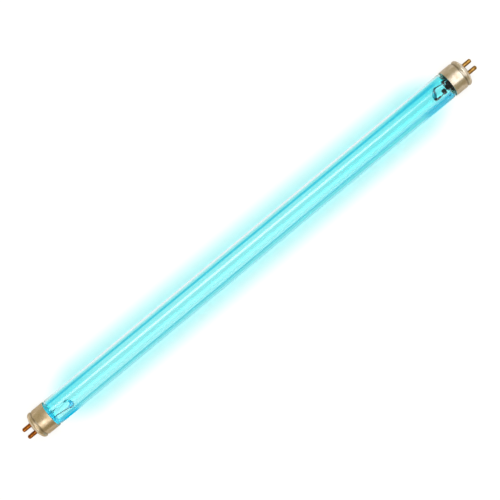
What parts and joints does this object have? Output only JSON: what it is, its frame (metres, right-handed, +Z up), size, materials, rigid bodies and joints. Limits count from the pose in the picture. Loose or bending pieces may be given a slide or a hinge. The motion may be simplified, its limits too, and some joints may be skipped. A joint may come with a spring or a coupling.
{
  "type": "uv-c germicidal lamp",
  "caption": "Straight clear quartz germicidal tube lamp with a rolled metal pin cap at each end, and pressed glass stems, bent leads and coiled electrodes inside.",
  "frame": {"origin": "middle of the lamp, on the tube's axis", "axes": "+X along the tube towards its right cap, +Z up; the contact pins lie in the XY plane"},
  "size_m": [0.315, 0.016, 0.016],
  "materials": {
    "quartz": "clear, with a pale blue-green glow",
    "stem_glass": "clear, fire-polished",
    "smoked_stem_glass": "clear glass darkened by deposited metal",
    "cap_metal": "satin, rolled",
    "insulator": "moulded",
    "cement": "dull, grainy",
    "pin_brass": "bare, handled",
    "lead_wire": "drawn nickel wire",
    "coated_tungsten": "dull coated coil",
    "flag_metal": "dark sheet"
  },
  "bodies": {
    "root": {"glass_tube": "quartz", "left_stem": "stem_glass", "right_stem": "smoked_stem_glass", "exhaust_tube": "stem_glass", "left_cap": "cap_metal", "right_cap": "cap_metal", "left_disc": "insulator", "right_disc": "insulator", "left_cement": "cement", "right_cement": "cement", "left_rear_pin": "pin_brass", "left_front_pin": "pin_brass", "right_rear_pin": "pin_brass", "right_front_pin": "pin_brass", "left_rear_lead": "lead_wire", "left_front_lead": "lead_wire", "right_rear_lead": "lead_wire", "right_front_lead": "lead_wire", "left_filament": "coated_tungsten", "right_filament": "coated_tungsten", "mercury_flag": "flag_metal"}
  },
  "joints": []
}
